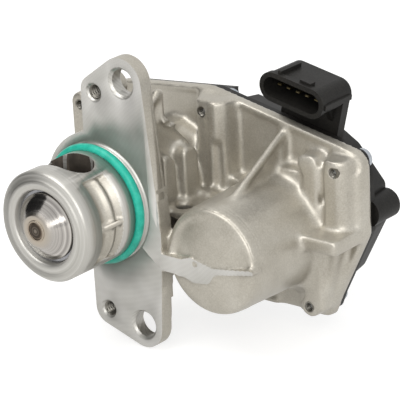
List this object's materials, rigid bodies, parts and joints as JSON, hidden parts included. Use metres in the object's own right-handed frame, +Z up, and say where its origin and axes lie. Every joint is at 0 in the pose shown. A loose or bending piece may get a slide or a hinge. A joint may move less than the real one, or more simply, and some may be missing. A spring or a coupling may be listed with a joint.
{
  "type": "exhaust gas recirculation valve",
  "caption": "Flange-mounted poppet valve for engine exhaust gas: cast housing with O-ring nose, helical cam, gear train, motor can, moulded cover and plug",
  "frame": {"origin": "on the valve axis, in the machined face of the mounting flange", "axes": "-Y along the valve axis out of the nose, the way the valve opens; +X towards the motor; +Z up, towards the upper flange arm"},
  "size_m": [0.1295, 0.0911, 0.1011],
  "materials": {
    "cast_aluminium": "as-cast, warm grey, with turned faces",
    "o_ring_rubber": "smooth moulded teal rubber",
    "valve_steel": "turned and ground stainless steel",
    "hard_steel": "hardened and ground steel",
    "spring_steel": "drawn spring wire",
    "plated_steel": "zinc plated",
    "cover_plastic": "fine-textured glass-filled moulding, near black",
    "gear_plastic": "natural moulded gear plastic",
    "cap_plastic": "moulded, dark",
    "seal_rubber": "moulded black rubber",
    "gasket_rubber": "moulded dark grey rubber",
    "copper": "enamelled copper wire",
    "contact_brass": "tin plated brass strip",
    "carbon": "pressed carbon",
    "ferrite": "sintered ferrite",
    "board": "solder-masked laminate",
    "bronze": "sintered bronze"
  },
  "bodies": {
    "housing": {"valve_housing": "cast_aluminium", "nose_o_ring": "o_ring_rubber", "valve_seat": "hard_steel", "stem_guide": "bronze", "stem_seal": "seal_rubber", "spring_seat": "plated_steel", "return_spring": "spring_steel", "bearing_outer_ring": "hard_steel", "bearing_balls": "hard_steel", "sensor_board": "board", "intermediate_axle": "hard_steel", "motor_magnets": "ferrite", "motor_case": "plated_steel", "motor_bushes": "bronze", "motor_end_cap": "cap_plastic", "motor_brushes": "carbon", "motor_terminals": "contact_brass", "motor_bracket": "plated_steel", "motor_screws": "plated_steel", "wave_spring": "spring_steel", "gearbox_cover": "cover_plastic", "cover_gasket": "gasket_rubber", "cover_screws": "plated_steel", "connector_pins": "contact_brass"},
    "valve": {"valve_head": "valve_steel", "valve_stem": "valve_steel", "spring_retainer": "plated_steel", "retainer_clip": "plated_steel", "cross_pin": "hard_steel"},
    "upper_cam_roller": {"upper_roller": "hard_steel"},
    "lower_cam_roller": {"lower_roller": "hard_steel"},
    "cam": {"cam_drum": "hard_steel", "bearing_inner_ring": "hard_steel", "output_gear": "gear_plastic", "sensor_magnet": "ferrite"},
    "intermediate": {"intermediate_gear": "gear_plastic"},
    "rotor": {"motor_shaft": "hard_steel", "motor_armature": "valve_steel", "motor_windings": "copper", "motor_commutator": "copper", "motor_pinion": "bronze"}
  },
  "joints": [
    {"name": "output_gear_turn", "type": "hinge", "parent": "housing", "child": "cam", "pos_m": [0, 0, 0], "axis": [0, -1, 0], "range_deg": [0, 90], "stiffness_Nm_per_rad": 0.029, "springref_deg": -150.11},
    {"name": "intermediate_gear_turn", "type": "hinge", "parent": "housing", "child": "intermediate", "pos_m": [0.02838, 0, -0.00256], "axis": [0, -1, 0], "range_deg": [-376.5, 0]},
    {"name": "motor_rotor_turn", "type": "hinge", "parent": "housing", "child": "rotor", "pos_m": [0.0445, 0, -0.013], "axis": [0, -1, 0], "range_deg": [0, 1430.5]},
    {"name": "valve_lift", "type": "slide", "parent": "housing", "child": "valve", "axis": [0, -1, 0], "range_m": [0, 0.006], "deforming": ["return_spring"]},
    {"name": "upper_roller_spin", "type": "hinge", "parent": "valve", "child": "upper_cam_roller", "pos_m": [0, 0.0335, 0.01115], "axis": [0, 0, 1], "range_deg": [0, 393.5]},
    {"name": "lower_roller_spin", "type": "hinge", "parent": "valve", "child": "lower_cam_roller", "pos_m": [0, 0.0335, -0.01115], "axis": [0, 0, 1], "range_deg": [-393.5, 0]}
  ],
  "couplings": [
    {"joint": "intermediate_gear_turn", "follows": "output_gear_turn", "ratio": -4.1818},
    {"joint": "motor_rotor_turn", "follows": "output_gear_turn", "ratio": 15.891},
    {"joint": "valve_lift", "follows": "output_gear_turn", "m_per_rad": 0.0038197},
    {"joint": "upper_roller_spin", "follows": "output_gear_turn", "ratio": 4.3652},
    {"joint": "lower_roller_spin", "follows": "output_gear_turn", "ratio": -4.3652}
  ]
}
